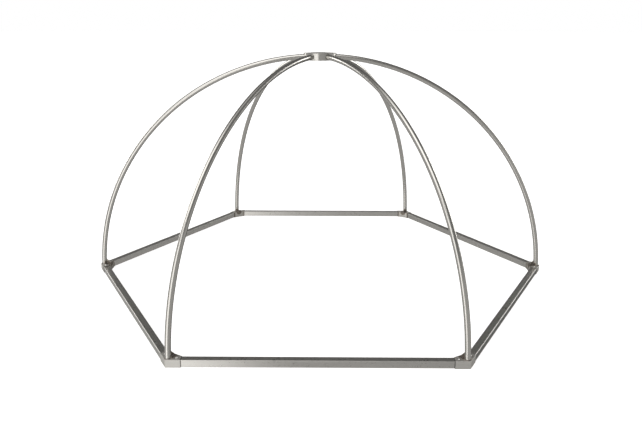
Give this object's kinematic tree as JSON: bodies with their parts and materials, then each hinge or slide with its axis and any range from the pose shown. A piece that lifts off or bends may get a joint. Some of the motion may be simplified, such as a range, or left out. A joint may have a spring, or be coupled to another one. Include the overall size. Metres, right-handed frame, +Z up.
{
  "type": "dome climber",
  "caption": "Domed climbing frame: a hexagonal base ring of square tube, bent tube legs that rise from its corners and a round hub where they meet.",
  "frame": {"origin": "on the floor under the centre of the hub", "axes": "+Z up along the dome's axis; the front base rail lies along X at -Y, and two corners lie on the X axis"},
  "size_m": [3.0514, 2.6426, 1.476],
  "materials": {
    "rail_steel": "satin, brushed along the rails",
    "fitting_steel": "satin, ground at the welds",
    "leg_steel": "satin, polished around the tube",
    "hub_steel": "fine turned",
    "fastener_steel": "bright"
  },
  "bodies": {
    "root": {"base_rail_1": "rail_steel", "base_rail_2": "rail_steel", "base_rail_3": "rail_steel", "base_rail_4": "rail_steel", "base_rail_5": "rail_steel", "base_rail_6": "rail_steel", "corner_sleeve_1": "fitting_steel", "corner_sleeve_2": "fitting_steel", "corner_sleeve_3": "fitting_steel", "corner_sleeve_4": "fitting_steel", "corner_sleeve_5": "fitting_steel", "corner_sleeve_6": "fitting_steel", "corner_web_1": "fitting_steel", "corner_web_2": "fitting_steel", "corner_web_3": "fitting_steel", "corner_web_4": "fitting_steel", "corner_web_5": "fitting_steel", "corner_web_6": "fitting_steel", "leg_tube_1": "leg_steel", "leg_tube_2": "leg_steel", "leg_tube_3": "leg_steel", "leg_tube_4": "leg_steel", "leg_tube_5": "leg_steel", "leg_tube_6": "leg_steel", "leg_gusset_1": "fitting_steel", "leg_gusset_2": "fitting_steel", "leg_gusset_3": "fitting_steel", "leg_gusset_4": "fitting_steel", "leg_gusset_5": "fitting_steel", "leg_gusset_6": "fitting_steel", "hub_body": "hub_steel", "hub_cover": "hub_steel", "hub_set_screws": "fastener_steel", "hub_cover_screws": "fastener_steel", "arm_screws": "fastener_steel", "rail_nuts": "fastener_steel"}
  },
  "joints": []
}
